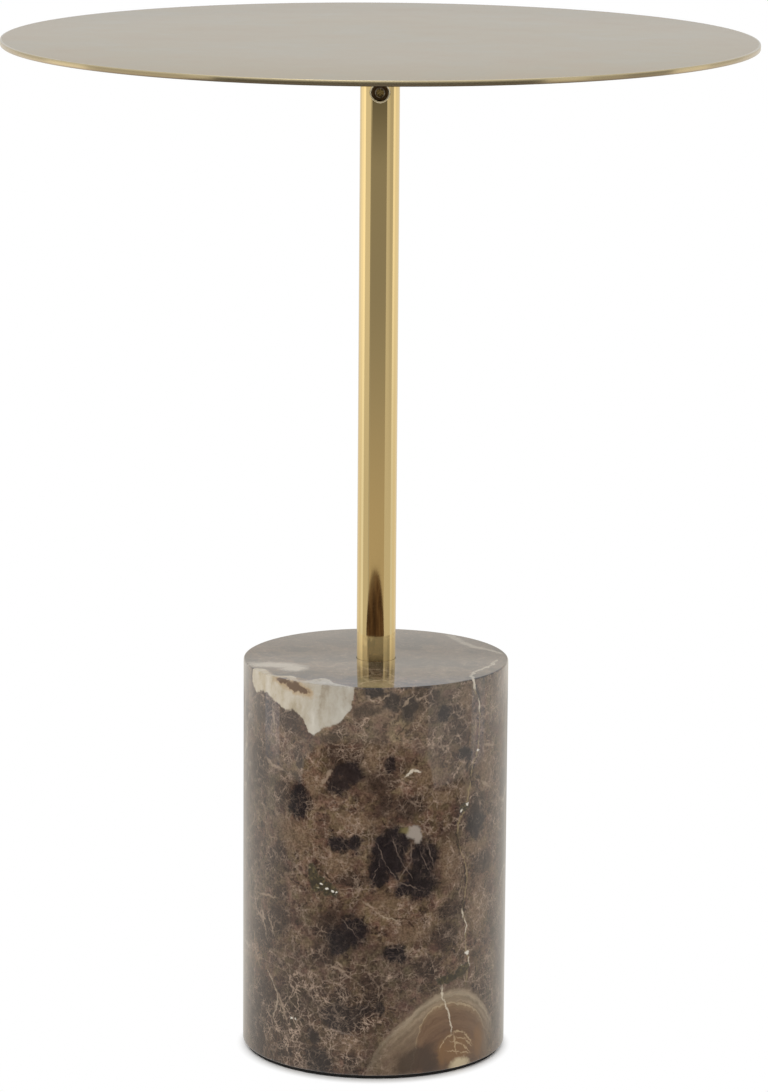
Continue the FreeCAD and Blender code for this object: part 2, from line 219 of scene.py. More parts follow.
def aged_satin_brass(add):
    """Rolled brass sheet, rubbed with fine abrasive and left to age: a dull gold with cloudy olive and
    rosy patches, soft reflections, and a rim that is brighter where it was trimmed and dressed."""
    place = millimetres(add)
    clouds = add("TexNoise", {"Vector": place, "Scale": 1 / CLOUD_SIZE, "Detail": 4, "Roughness": 0.55})
    patina = set_stops(add("ValToRGB", {"Fac": clouds}), [
        (0.36, SATIN_BRASS_OLIVE), (0.5, SATIN_BRASS), (0.64, SATIN_BRASS_ROSE)])
    flat = add("VectorMath", {0: place, 1: (1, 1, 0)}, operation="MULTIPLY")
    reach = add("VectorMath", {0: flat}, operation="LENGTH").outputs["Value"]
    rim_start = TOP_RADIUS / MM - RIM_WIDTH
    rim = add("MapRange", {
        "Value": reach, "From Min": rim_start, "From Max": rim_start + RIM_WIDTH / 2})
    # The rim's colour turns darker and greyer towards its lower corner.
    height = add("SeparateXYZ", {"Vector": place}).outputs["Z"]
    wiped = add("MapRange", {
        "Value": height, "From Min": TOP_LOW.z / MM + 0.3, "From Max": TOP_LOW.z / MM + 1.6})
    trimmed = add("Mix", {"Factor": wiped, "A": TARNISHED_EDGE, "B": BRIGHT_BRASS}, data_type="RGBA")
    colour = add("Mix", {"Factor": rim, "A": patina, "B": trimmed}, data_type="RGBA")
    # The abrasive's lines are far finer than a pixel, so the grain is drawn coarse enough to show.
    grain = add("TexNoise", {"Vector": place, "Scale": 1 / GRAIN_SIZE, "Detail": 2})
    dullness = add("MapRange", {
        "Value": clouds, "From Min": 0.3, "From Max": 0.7, "To Min": 0.30, "To Max": 0.38})
    polish = add("Mix", {"Factor": rim, "A": dullness, "B": 0.16})
    relief = add("Bump", {"Height": grain, "Strength": 0.05, "Distance": 0.05 * MM})
    return add("BsdfPrincipled", {
        "Base Color": colour, "Metallic": 1.0, "Roughness": polish, "Normal": relief,
        "Coat Weight": 1.0, "Coat Roughness": 0.25, "Coat IOR": 1.5})


def from_screw_axis(add):
    """How far in millimetres a point of the tube's front is from the lock screw's axis."""
    place = add("TexCoord").outputs["Object"]
    off = add("VectorMath", {0: place, 1: (0, 0, SCREW_HEIGHT)}, operation="SUBTRACT")
    off = add("VectorMath", {0: off, 1: (1 / MM, 0, 1 / MM)}, operation="MULTIPLY")
    return add("VectorMath", {0: off}, operation="LENGTH").outputs["Value"]


def polished_brass(add):
    """Drawn brass tube, buffed to a mirror: clear gold reflections, with the faint haze of the buffing
    mop. The screw hole's edge was broken with abrasive, and round it a pale, dull, non-metal ring is
    a painted highlight."""
    place = millimetres(add)
    along = add("VectorMath", {0: place, 1: (1, 1, 0.12)}, operation="MULTIPLY")
    haze = add("TexNoise", {"Vector": along, "Scale": 1 / 5, "Detail": 3})
    dullness = add("MapRange", {
        "Value": haze, "From Min": 0.3, "From Max": 0.7, "To Min": 0.03, "To Max": 0.07})
    shine = add("BsdfPrincipled", {
        "Base Color": POLISHED_BRASS, "Metallic": 1.0, "Roughness": dullness})
    # Painted highlight: a pale, dull, non-metal ring round the screw hole's edge
    crust = set_stops(add("ValToRGB", {"Fac": haze}), [(0.35, "#E9DAB4"), (0.65, BROKEN_EDGE)])
    paste = add("BsdfPrincipled", {"Base Color": crust, "Roughness": 0.5})
    broken_edge = add("MapRange", {
        "Value": from_screw_axis(add), "From Min": RIM_REACH, "From Max": RIM_REACH - 0.1})
    return add("MixShader", {0: broken_edge, 1: shine, 2: paste})


def plain_metal(add, colour, worn_colour, roughness, grain_size):
    """A machined or plated metal: two close tones and uneven dullness."""
    place = millimetres(add)
    grain = add("TexNoise", {"Vector": place, "Scale": 1 / grain_size, "Detail": 3})
    tone = set_stops(add("ValToRGB", {"Fac": grain}), [(0.35, colour), (0.65, worn_colour)])
    dullness = add("MapRange", {
        "Value": grain, "From Min": 0.3, "From Max": 0.7,
        "To Min": roughness * 0.8, "To Max": roughness * 1.2})
    relief = add("Bump", {"Height": grain, "Strength": 0.1, "Distance": 0.05 * MM})
    return add("BsdfPrincipled", {
        "Base Color": tone, "Metallic": 1.0, "Roughness": dullness, "Normal": relief})


def blackened_screw(add):
    """Socket screw in black oxide: a brown-black skin, rubbed to bare steel at the socket's mouth by the
    key, with painted golden glints in patches inside the socket."""
    place = millimetres(add)
    grain = add("TexNoise", {"Vector": place, "Scale": 1 / 0.8, "Detail": 3})
    skin = set_stops(add("ValToRGB", {"Fac": grain}), [(0.35, "#4A3A28"), (0.65, "#6B563C")])
    from_axis = from_screw_axis(add)
    away = add("Math", {0: from_axis, 1: SOCKET_MOUTH}, operation="SUBTRACT")
    away = add("Math", {0: away}, operation="ABSOLUTE")
    wear = add("MapRange", {
        "Value": grain, "From Min": 0.38, "From Max": 0.58, "To Min": 0.25, "To Max": 0.9})
    rubbed = add("MapRange", {"Value": away, "From Min": 0.4, "From Max": 0.1, "To Max": wear})
    # Painted glints: golden patches inside the socket, standing in for light caught by its walls
    deep = add("MapRange", {
        "Value": from_axis, "From Min": SOCKET_MOUTH, "From Max": SOCKET_MOUTH - 0.4})
    oily = add("MapRange", {"Value": grain, "From Min": 0.42, "From Max": 0.52, "To Max": deep})
    tone = add("Mix", {"Factor": oily, "A": skin, "B": OILY_STEEL}, data_type="RGBA")
    tone = add("Mix", {"Factor": rubbed, "A": tone, "B": BARE_STEEL}, data_type="RGBA")
    dullness = add("MapRange", {
        "Value": grain, "From Min": 0.3, "From Max": 0.7, "To Min": 0.4, "To Max": 0.55})
    return add("BsdfPrincipled", {"Base Color": tone, "Metallic": 1.0, "Roughness": dullness})


def matt_stuff(add, colour, fleck_colour, roughness, grain_size):
    """A dull stuff with no metal in it, such as rubber or pressed fibre: grainy, with pale flecks."""
    place = millimetres(add)
    grain = add("TexNoise", {"Vector": place, "Scale": 1 / grain_size, "Detail": 4})
    tone = set_stops(add("ValToRGB", {"Fac": grain}), [(0.4, colour), (0.7, fleck_colour)])
    relief = add("Bump", {"Height": grain, "Strength": 0.3, "Distance": 0.1 * MM})
    return add("BsdfPrincipled", {"Base Color": tone, "Roughness": roughness, "Normal": relief})


# Marble: places on its wall are millimetres around from the middle of the front, and millimetres up

DARK_LUMPS = (
    # around, up, half width, half height, tilt in degrees
    (-15.5, 168.5, 9, 6, 5), (-20, 162.5, 5.5, 6.5, 10), (-43.5, 149.5, 5, 9, -5),
    (-19.5, 130, 5.5, 4.2, 0), (-11, 130, 3.6, 4, 0), (12, 131, 7.5, 8, 0), (4, 128, 6, 6.5, 0),
    (8, 120, 9, 8, 0), (1.5, 113, 5, 6.5, 0), (27, 121, 7, 11, 0), (25, 108, 9, 8.5, 0),
    (17, 105, 5, 4, 0), (53.5, 175, 5, 4.2, -20), (-11.5, 82, 6.5, 8, 8), (-20, 76, 6, 7, 0),
    (11.5, 69.5, 6, 4, -10), (-18, 34, 9.5, 6.5, -20), (-6, 38, 5.5, 3.4, 10), (3, 39, 3.6, 3, 0),
    (-31, 8, 6.5, 9, 0), (-33, 22, 3.4, 3.6, 0), (9, 208, 5, 5, 0), (18, 204, 4, 6, 0),
    (-1, 213, 5, 3, 0), (38.5, 199.5, 4, 3.6, 0), (8.5, 174.5, 3, 4.2, -10), (61, 136, 7, 6.5, 0),
)
SOFT_LUMPS = (
    (-17, 178, 10, 6, 0), (-52.5, 153, 6, 7, 0), (-37.5, 151, 3, 6, 0), (-49, 194, 8, 6.5, -20),
    (-71, 196, 9, 10, 0), (-75, 166, 8, 14, 0), (-43, 174, 3.4, 6, 15), (4, 164, 7, 5, 0),
    (6, 152, 4.5, 6, 0), (18, 151, 8, 6, 0), (-5, 203, 7, 3.4, 0), (24, 209, 5, 7, 0),
    (31, 209, 4, 4.5, 0), (47, 199.5, 4.4, 3.8, 0), (48, 188, 5, 6, 20), (-22, 188, 7, 4, 30),
    (62, 147, 6, 6, 0), (67, 113.5, 7.5, 6, 0), (-59, 118, 5, 8, -35), (-54.5, 98, 4.6, 3.6, 40),
    (-57, 84, 9, 9, 0), (-69, 74, 9, 10, 0), (-24, 84, 8, 8, 0), (-27, 68, 7, 6, 0), (-12, 110, 6, 4, 0),
    (41.5, 90, 6, 5, 0), (40, 78, 7, 7, 0), (29, 61, 6, 6, 0), (-69, 38, 8, 10, 0), (-76, 18, 8, 18, 0),
    (-17, 46, 4.4, 5, 0), (0, 45.5, 5, 4, 0), (-1, 54, 6, 4, 0), (-52, 10, 5, 5, 0), (-12, 8, 4, 7, 0),
)
TAN_LUMPS = (
    (-20, 118, 8, 7, 0), (43, 118, 8, 14, 0), (60, 122, 10, 5, -10), (20, 80, 11, 6.5, 10),
    (8, 98, 11, 5, 0), (-46, 131, 12, 9, 0), (52, 156, 6, 5, 0), (38, 154, 8, 4, 0), (30, 166, 8, 5, 0),
    (-2, 178, 5, 8, 0), (-33, 160, 4, 7, 0), (-10, 143, 12, 5, 0), (52, 205, 5, 8, 0), (-15, 20, 9, 7, 0),
    (65, 88, 8, 14, 0), (70, 165, 8, 12, 0),
)
# Where the pale cement makes a close net
NETS = ((-42, 20, 30, 24, 0), (-12, 36, 22, 14, 0), (-40, 50, 16, 10, 0))
# Strokes: from around and up, to around and up, half as wide as this
BRIGHT_STROKES = (
    (16.5, 167.2, 20.5, 170.2, 0.6), (20.5, 170.2, 24, 169.4, 0.55), (51.4, 89.5, 51.8, 86, 0.7),
    (53, 84.6, 54.8, 80, 0.45), (54.8, 80.5, 53.4, 75.5, 0.45), (56.2, 63, 57.3, 57.3, 0.45),
    (57.5, 216, 59.2, 210, 0.9), (62.6, 203, 63.3, 197, 0.6),
)
PALE_STROKES = (
    (-29.5, 161, -23, 171, 0.9), (-67, 169.5, -62, 166.8, 1.0), (-63, 167, -55.5, 166.3, 1.0),
    (-62, 197, -61, 189, 0.8), (-4, 210.5, 0, 206.8, 0.6), (0, 207, 7, 212, 0.5),
    (15, 205.5, 19.5, 210.5, 0.6), (-75.5, 81.5, -70.5, 80.5, 1.0), (-72, 86, -68, 72, 0.8),
    (-65, 82, -60.5, 73, 0.8), (-79, 93, -58, 94.5, 0.7), (-24, 62, -14, 59.5, 0.7),
    (-20, 64.5, -17, 62, 0.8), (-5, 98.2, -1, 95.3, 0.7), (68, 178, 78, 175.5, 0.9),
    (66, 158, 72, 154.5, 0.9), (-58, 43, -50, 26, 0.7),
)
FAINT_STROKES = (
    (1, 131, 6, 119, 0.35), (6, 119, 12.5, 110, 0.35), (20, 132, 19.4, 120, 0.4),
    (19.6, 121, 12, 108.5, 0.45), (9, 134, 14, 121, 0.3), (14, 121, 20, 112, 0.3),
    (24, 126, 31, 112, 0.3), (28, 131, 33, 116, 0.3), (3, 121, -2, 107, 0.3), (12, 110, 26, 104, 0.35),
    (0, 45, -14, 30, 0.4), (-26, 28, -8, 24, 0.5), (-17, 88, -8, 78, 0.35),
)
DARK_STROKES = (
    (59.6, 211.2, 63.6, 203, 1.2), (47, 134, 48.8, 121.5, 1.0), (51.8, 116, 53.6, 108.5, 0.7),
    (53.4, 109, 53.2, 103, 0.6), (52.2, 95.5, 52.6, 90, 1.3), (10, 89.3, 18, 88.4, 0.4),
    (17.5, 88.6, 22, 83.3, 0.5), (25.8, 92.5, 29, 82.5, 0.4), (-50, 107.6, -40, 103.8, 0.5),
    (-36.5, 117.3, -28, 113.5, 0.6), (-28, 113.5, -22.8, 109.2, 0.5), (10, 188, 18, 196, 0.5),
    (61, 161.5, 63.5, 160.5, 1.1), (56.5, 168, 56.9, 158, 0.6),
)
POCKETS = (
    (-33.5, 111, 2.8, 6.5, 15), (-31, 106.5, 4.8, 4.8, 0), (-25.5, 104.5, 6, 3.6, -28),
    (42, 52.8, 6.5, 2.4, 3), (52, 56, 5, 2.8, 35), (52, 146, 4, 2, 20),
)
GLINTS = (
    (62.3, 176, 1.2, 0.9, 0), (55.2, 65.2, 1.3, 1.0, 0), (54, 147.5, 0.9, 0.9, 0),
    (50, 144.8, 1.0, 0.7, 30), (-29, 106.8, 0.7, 0.6, 0), (-26, 104.6, 0.9, 0.6, -30),
    (-23.2, 103.4, 0.8, 0.7, 0), (-21, 102.8, 0.7, 0.6, 0), (-47.3, 29.8, 0.9, 0.6, 0),
    (-44.7, 29.2, 0.7, 0.6, 0),
)
# White chip, and its olive corner
CHIP = ((20.8, 136.2, 4.2, 3.7, 0), (23.2, 133.8, 2.3, 3.4, 0))
CHIP_CORNER = ((16.2, 137.6, 2.4, 1.8, 0),)
# Long veins that climb the wall, as points of (around, up)
RIGHT_VEIN = (
    (54.5, 46), (55, 52), (56.5, 58), (55.2, 65), (54, 74), (54.5, 80), (51.6, 88), (53, 96), (54.4, 105),
    (54.4, 111), (52, 118), (49, 124), (47.8, 131), (48.2, 138), (53, 146), (55, 154), (57, 162),
    (58.5, 169), (62.3, 176), (63, 186), (63.4, 195), (62.6, 203), (58.5, 210), (57.2, 216))
FOOT_VEIN = ((45, 21), (44.6, 25), (43.8, 29.5), (42.4, 34), (40.4, 40), (39, 43.5), (38.3, 47), (39.2, 51))
LEFT_VEIN = (
    (-62, 24), (-60.5, 29), (-58.8, 34), (-57.8, 39), (-59.5, 43.5), (-63, 48), (-66, 52), (-70, 55.5))
# Lines that run around the wall, as points of (around, up)
HAIR_VEIN = ((-2, 96), (2, 92.6), (5, 90.2), (10, 88.8), (15, 87))
OUTER_ARC = (
    (-10, -4), (-6, 2), (-3, 8), (1, 16), (5, 23), (10, 28), (16, 33), (22, 38), (28, 42.5), (34, 45.6),
    (43, 47), (50, 47), (55, 45.5), (60, 42.5), (65, 39), (70, 34), (76, 27), (84, 16))
INNER_ARC = (
    (18, -4), (22, 12), (24.5, 25), (26.5, 31.5), (29, 35), (33, 38), (38, 39.8), (43, 40.3), (50, 38.6),
    (56, 36.5), (60, 34), (64, 31), (68, 26), (71, 18), (74, 6))
SWIRL_DARK = ((23, 10, 14, 7.5, 25), (31, 8, 8, 7, 0))
SWIRL_RUST = ((48, 12, 13, 11, 0), (39, 12, 3.6, 9, 0), (65, 14, 5, 10, 0))
SWIRL_CREAM = ((51, 4, 7.5, 3.8, 0),)
SWIRL_RIBS = (
    (45.9, 21.5, 40.4, 19.5, 0.45), (40.4, 19.5, 37.7, 14.2, 0.4), (47.1, 22.7, 53.1, 21.3, 0.5),
    (53.1, 21.3, 59.6, 13.7, 0.45), (48.2, 19.3, 54.3, 17.4, 0.4), (54.3, 17.4, 59.6, 11.8, 0.4),
    (43.6, 18.1, 53.1, 13.9, 0.4), (53.1, 13.9, 58.2, 9.3, 0.4), (42.6, 12.7, 50.6, 10.6, 0.4),
    (50.6, 10.6, 58.2, 8.4, 0.45), (46.5, 21.3, 48.2, 10, 0.5),
)
CALCITE_EDGE = (
    (-88, 214), (-82, 206), (-79, 203.5), (-76, 204.5), (-73, 206), (-68, 205.5), (-62, 203), (-57, 201),
    (-53, 199), (-50, 198.7), (-47.5, 200.2), (-43, 197.5), (-40, 195), (-38, 191), (-34.5, 187.5),
    (-31, 190.5), (-25, 193.5), (-19, 196), (-15.5, 201), (-13, 204), (-11.8, 209), (-11, 217))
# How far that patch reaches in from the rim over the upper face, as points of (around, depth)
CALCITE_REACH = (
    (-84, 0), (-80, 5), (-72, 4), (-65, 2), (-61, 3), (-57, 8), (-51, 7), (-46, 3), (-41, 6), (-37, 14),
    (-31, 13), (-25, 7), (-18, 4), (-11, 0))
STAIN = ((-46, 212.5, 6, 2.6, -10), (-40.5, 211.5, 4, 2, -20), (-54, 214.5, 5, 1.6, 0))
# Marks of the upper face: x, y, half sizes and tilt
TOP_PALE = ((-54, -20, 15, 6.5, -8), (-44, -27, 7, 7, 0))
TOP_STREAKS = (
    (39, 60, 47, 38, 2.4), (46, 40, 54, 26, 2.2), (52, 28, 62, 20, 2.0), (61, 21, 68, 11, 1.4),
    (52, -52, 50.8, -40, 0.9), (50.9, -41, 52.6, -32, 0.9), (52.4, -33, 57, -25, 1.0),
    (56.5, -26, 62.5, -17, 1.0), (62.3, -17.5, 63.6, -10, 1.1), (63.2, -11, 65.4, -4.5, 0.9),
)
# Broken net between the tube and the front edge, which the tube mirrors
TOP_NET = (
    (-8, -21, -3, -30, 0.9), (-3, -30, 4, -27, 0.8), (4, -27, 7, -36, 0.9), (-3, -31, -1, -41, 0.9),
    (-1, -41, 6, -38, 0.8), (-2, -42, -8, -47, 1.0), (6, -38, 10, -46, 1.0), (-7, -48, -4, -56, 0.9),
    (-3, -56, 4, -53, 0.9), (5, -54, 8, -62, 1.0), (-5, -57, -9, -65, 1.0),
)

CURVE_SPAN = 250
BACK_START = 82
BACK_FULL = 96
SPOT_JOIN = 0.12
VEIN_FADE = 4
ARC_FADE = 12
BAND_SPAN = 40
CRUMB_BROWN = "#30231D"
LUMP_BLACK = "#261F1E"
NET_BROWN = "#35281F"
CEMENT = "#A58F7D"
BACK_VEIN = "#CDBFA8"
GLINT = "#E6DFD2"
WALL = MARBLE_RADIUS / MM
UPPER_FACE = MARBLE_HIGH.z / MM


def strokes(lines):
    """Strokes as long thin spots, each with its middle, half length, half width and tilt."""
    spots = []
    for start_x, start_y, end_x, end_y, half_width in lines:
        run, rise = end_x - start_x, end_y - start_y
        middle = ((start_x + end_x) / 2, (start_y + end_y) / 2)
        tilt = math.degrees(math.atan2(rise, run))
        spots.append((*middle, math.hypot(run, rise) / 2 + half_width, half_width, tilt))
    return spots


def spots_cover(add, where, spots, fray, frayed, outer, inner, strength):
    """How much of a point some oval spots cover, 1 being a spot's own edge for outer and inner, with the
    edges frayed by a noise."""
    nearest = None
    for x, y, half_wide, half_high, tilt in spots:
        level = add("VectorRotate", {
            "Vector": where, "Center": (x, y, 0), "Angle": -math.radians(tilt)}, rotation_type="Z_AXIS")
        local = add("VectorMath", {
            0: level, 1: (1 / half_wide, 1 / half_high, 0.5 / min(half_wide, half_high)),
            2: (-x / half_wide, -y / half_high, 0)}, operation="MULTIPLY_ADD")
        away = add("VectorMath", {0: local}, operation="LENGTH").outputs["Value"]
        nearest = away if nearest is None else add("Math", {
            0: nearest, 1: away, 2: SPOT_JOIN}, operation="SMOOTH_MIN")
    edge = add("Math", {0: fray, 1: frayed, 2: nearest}, operation="MULTIPLY_ADD")
    return add("MapRange", {
        "Value": edge, "From Min": outer + frayed / 2, "From Max": inner + frayed / 2, "To Max": strength},
        interpolation_type="SMOOTHSTEP")


def paint_spots(add, colour, at, coats):
    """Lays coats of paint over a colour, one by one, each where its oval spots cover the stone."""
    for spots, paint, frayed, outer, inner, strength in coats:
        inside = spots_cover(add, at.ragged, spots, at.flakes, frayed, outer, inner, strength)
        colour = add("Mix", {"Factor": inside, "A": colour, "B": paint}, data_type="RGBA")
    return colour


def follow(add, travel, points):
    """The place across, in millimetres, of a smooth line through points, for a way travelled along it."""
    share = add("MapRange", {"Value": travel, "From Min": -CURVE_SPAN, "From Max": CURVE_SPAN})
    bends = [[(p + CURVE_SPAN) / (2 * CURVE_SPAN) for p in point] for point in points]
    curve = set_bends(add("FloatCurve", {"Value": share}), bends)
    return add("MapRange", {"Value": curve, "To Min": -CURVE_SPAN, "To Max": CURVE_SPAN}, clamp=False)


def fade_ends(add, cover, travel, points, fade_in, fade_out):
    """A cover that fades in after the first of some points and out before the last."""
    start, end = points[0][0], points[-1][0]
    for edge, inward in ((start, start + fade_in), (end, end - fade_out)):
        fade = add("MapRange", {"Value": travel, "From Min": edge, "From Max": inward})
        cover = add("Math", {0: cover, 1: fade}, operation="MULTIPLY")
    return cover


def off_middle(add, place, size, detail, roughness):
    """How far a noise of some grain size is from its middle, which is 0 along wandering lines."""
    drifts = add("TexNoise", {
        "Vector": place, "Scale": 1 / size, "Detail": detail, "Roughness": roughness})
    off = add("Math", {0: drifts, 1: 0.5}, operation="SUBTRACT")
    return add("Math", {0: off}, operation="ABSOLUTE")


def shifted(add, vector, place, size, amount):
    """A vector pushed about by noise of some grain size, by up to about a third of the amount each way."""
    push = add("TexNoise", {"Vector": place, "Scale": 1 / size, "Detail": 3, "Roughness": 0.6})
    push = add("VectorMath", {0: push.outputs["Color"], 1: (0.5, 0.5, 0.5)}, operation="SUBTRACT")
    push = add("VectorMath", {0: push, "Scale": amount * 2}, operation="SCALE")
    return add("VectorMath", {0: vector, 1: push}, operation="ADD")


def marble_places(add):
    """Where a point lies: in the table's frame, unrolled from the wall, and each of these pushed about."""
    at = SimpleNamespace(place=millimetres(add))
    parts = add("SeparateXYZ", {0: at.place})
    ahead = add("Math", {0: parts.outputs["Y"], 1: -1}, operation="MULTIPLY")
    turned = add("Math", {0: parts.outputs["X"], 1: ahead}, operation="ARCTAN2")
    at.flat = add("VectorMath", {0: at.place, 1: (1, 1, 0)}, operation="MULTIPLY")
    reach = add("VectorMath", {0: at.flat}, operation="LENGTH").outputs["Value"]
    straight_around = add("Math", {0: turned, 1: WALL}, operation="MULTIPLY")
    at.depth = add("Math", {0: WALL, 1: reach}, operation="SUBTRACT")
    at.unrolled = add("CombineXYZ", {"X": straight_around, "Y": parts.outputs["Z"], "Z": at.depth})
    at.ragged = shifted(add, at.unrolled, at.place, 3, 1.8)
    at.swayed = shifted(add, at.ragged, at.place, 9, 4.5)
    at.rippled = shifted(add, at.place, at.place, 6, 6.0)
    near = add("SeparateXYZ", {0: at.ragged})
    at.around, at.up = near.outputs["X"], near.outputs["Y"]
    at.flakes = add("TexNoise", {"Vector": at.place, "Scale": 1 / 3.5, "Detail": 5, "Roughness": 0.68})
    at.on_wall = add("MapRange", {"Value": at.depth, "From Min": 6, "From Max": 1})
    at.on_top = add("MapRange", {
        "Value": parts.outputs["Z"], "From Min": UPPER_FACE - 1.2, "From Max": UPPER_FACE - 0.3})
    behind = add("Math", {0: straight_around}, operation="ABSOLUTE")
    at.behind = add("MapRange", {"Value": behind, "From Min": BACK_START, "From Max": BACK_FULL})
    return at


def breccia_ground(add, at):
    """The ground of the stone: rosy, olive and greyer drifts of crushed stone with soft dark crumbs."""
    soil = add("TexNoise", {"Vector": at.place, "Scale": 1 / 13, "Detail": 8, "Roughness": 0.78})
    brown = set_stops(add("ValToRGB", {"Fac": soil}), [
        (0.30, "#403027"), (0.42, "#544135"), (0.52, "#665140"), (0.62, "#78614E"), (0.76, "#937A64")])
    grey = set_stops(add("ValToRGB", {"Fac": soil}), [
        (0.30, "#3B3028"), (0.45, "#53463B"), (0.60, "#6B5D4F"), (0.76, "#877766")])
    drift = add("TexNoise", {"Vector": at.place, "Scale": 1 / 40, "Detail": 2})
    greyness = add("MapRange", {"Value": drift, "From Min": 0.45, "From Max": 0.65, "To Max": 0.7})
    colour = add("Mix", {"Factor": greyness, "A": brown, "B": grey}, data_type="RGBA")
    blush = add("TexNoise", {"Vector": at.place, "Scale": 1 / 6, "Detail": 3, "Roughness": 0.6})
    hue = add("MapRange", {
        "Value": blush, "From Min": 0.35, "From Max": 0.65, "To Min": 0.482, "To Max": 0.522})
    colour = add("HueSaturation", {"Hue": hue, "Color": colour})
    for size, strength in ((8, 0.55), (4.5, 0.75), (2.8, 0.75)):
        crumbs = add("TexVoronoi", {"Vector": at.rippled, "Scale": 1 / size}, feature="F1")
        lot = add("SeparateColor", {0: crumbs.outputs["Color"]}).outputs[0]
        core = add("MapRange", {
            "Value": crumbs.outputs["Distance"], "From Min": 0.6, "From Max": 0.15},
            interpolation_type="SMOOTHSTEP")
        dark = add("MapRange", {"Value": lot, "From Min": 0.4, "From Max": 0.8, "To Max": strength})
        dark = add("Math", {0: core, 1: dark}, operation="MULTIPLY")
        colour = add("Mix", {"Factor": dark, "A": colour, "B": CRUMB_BROWN}, data_type="RGBA")
    return colour


def placed_lumps(add, colour, at):
    """Tan patches with little in them, then soft and hard dark lumps. Also how much the net shows there."""
    for spots, stops, frayed, outer, inner, strength in (
            (TAN_LUMPS, ((0.30, "#685442"), (0.55, "#79644F"), (0.75, "#8B745C")), 1.0, 1.4, 0.4, 0.65),
            (SOFT_LUMPS, ((0.35, "#30251F"), (0.55, "#3E312A"), (0.75, "#57463B")), 0.8, 1.6, 0.6, 0.88),
            (DARK_LUMPS, ((0.35, "#1E1919"), (0.55, "#272122"), (0.75, "#3E322C")), 0.5, 1.55, 0.75, 0.97)):
        tone = set_stops(add("ValToRGB", {"Fac": at.flakes}), stops)
        inside = spots_cover(add, at.swayed, spots, at.flakes, frayed, outer, inner, strength)
        colour = add("Mix", {"Factor": inside, "A": colour, "B": tone}, data_type="RGBA")
    return colour, add("MapRange", {"Value": inside, "To Min": 1.0, "To Max": 0.3})


def chance_lumps(add, colour, at):
    """Lumps of the sides that are not pictured, and of the upper face, where they fall by chance."""
    beyond = add("Math", {0: at.behind, 1: at.on_top}, operation="MAXIMUM")
    for size in (38, 19):
        lumps = add("TexVoronoi", {"Vector": at.rippled, "Scale": 1 / size}, feature="F1")
        lot = add("SeparateColor", {0: lumps.outputs["Color"]}).outputs[0]
        lump = add("Math", {
            0: at.flakes, 1: 0.5, 2: lumps.outputs["Distance"]}, operation="MULTIPLY_ADD")
        lump = add("MapRange", {
            "Value": lump, "From Min": 0.72, "From Max": 0.56}, interpolation_type="SMOOTHSTEP")
        chance = add("MapRange", {"Value": lot, "From Min": 0.3, "From Max": 0.55, "To Max": 0.95})
        lump = add("Math", {0: lump, 1: chance}, operation="MULTIPLY")
        lump = add("Math", {0: lump, 1: beyond}, operation="MULTIPLY")
        colour = add("Mix", {"Factor": lump, "A": colour, "B": LUMP_BLACK}, data_type="RGBA")
    return colour


def cement_net(add, colour, at, in_ground):
    """Net of pale cement, straight cracks and wandering threads that break off here and there, and long
    pale veins that wander over the sides that are not pictured."""
    close = spots_cover(add, at.unrolled, NETS, at.flakes, 0.6, 1.3, 0.4, 0.45)
    colour = add("Mix", {"Factor": close, "A": colour, "B": NET_BROWN}, data_type="RGBA")
    patchy = add("TexNoise", {"Vector": at.place, "Scale": 1 / 16, "Detail": 3, "Roughness": 0.6})
    broken = add("TexNoise", {"Vector": at.place, "Scale": 1 / 5, "Detail": 3})
    gaps = add("MapRange", {"Value": broken, "From Min": 0.36, "From Max": 0.56})
    bent = shifted(add, at.place, at.place, 5, 2.6)
    lines = []
    for size, half_width, strength in ((15, 0.5, 0.50), (8, 0.5, 0.50)):
        cracks = add("TexVoronoi", {"Vector": bent, "Scale": 1 / size}, feature="DISTANCE_TO_EDGE")
        lines.append((cracks, half_width / size, strength))
    for size, thin, strength in ((11, 0.018, 0.52), (6, 0.024, 0.46)):
        lines.append((off_middle(add, at.place, size, 4, 0.55), thin, strength))
    for away, thin, strength in lines:
        line = add("MapRange", {
            "Value": away, "From Min": thin, "From Max": 0.0}, interpolation_type="SMOOTHSTEP")
        here = add("MapRange", {
            "Value": patchy, "From Min": 0.36, "From Max": 0.60, "To Max": strength})
        here = add("Math", {0: here, 1: close}, operation="ADD")
        here = add("Math", {0: here, 1: in_ground}, operation="MULTIPLY")
        web = add("Math", {0: line, 1: here}, operation="MULTIPLY")
        web = add("Math", {0: web, 1: gaps}, operation="MULTIPLY")
        colour = add("Mix", {"Factor": web, "A": colour, "B": CEMENT}, data_type="RGBA")
    off = off_middle(add, at.place, 75, 3, 0.42)
    vein = add("MapRange", {"Value": off, "From Min": 0.010, "From Max": 0.0, "To Max": 0.7})
    back_wall = add("Math", {0: at.behind, 1: at.on_top}, operation="SUBTRACT", use_clamp=True)
    vein = add("Math", {0: vein, 1: back_wall}, operation="MULTIPLY")
    vein = add("Math", {0: vein, 1: gaps}, operation="MULTIPLY")
    return add("Mix", {"Factor": vein, "A": colour, "B": BACK_VEIN}, data_type="RGBA")


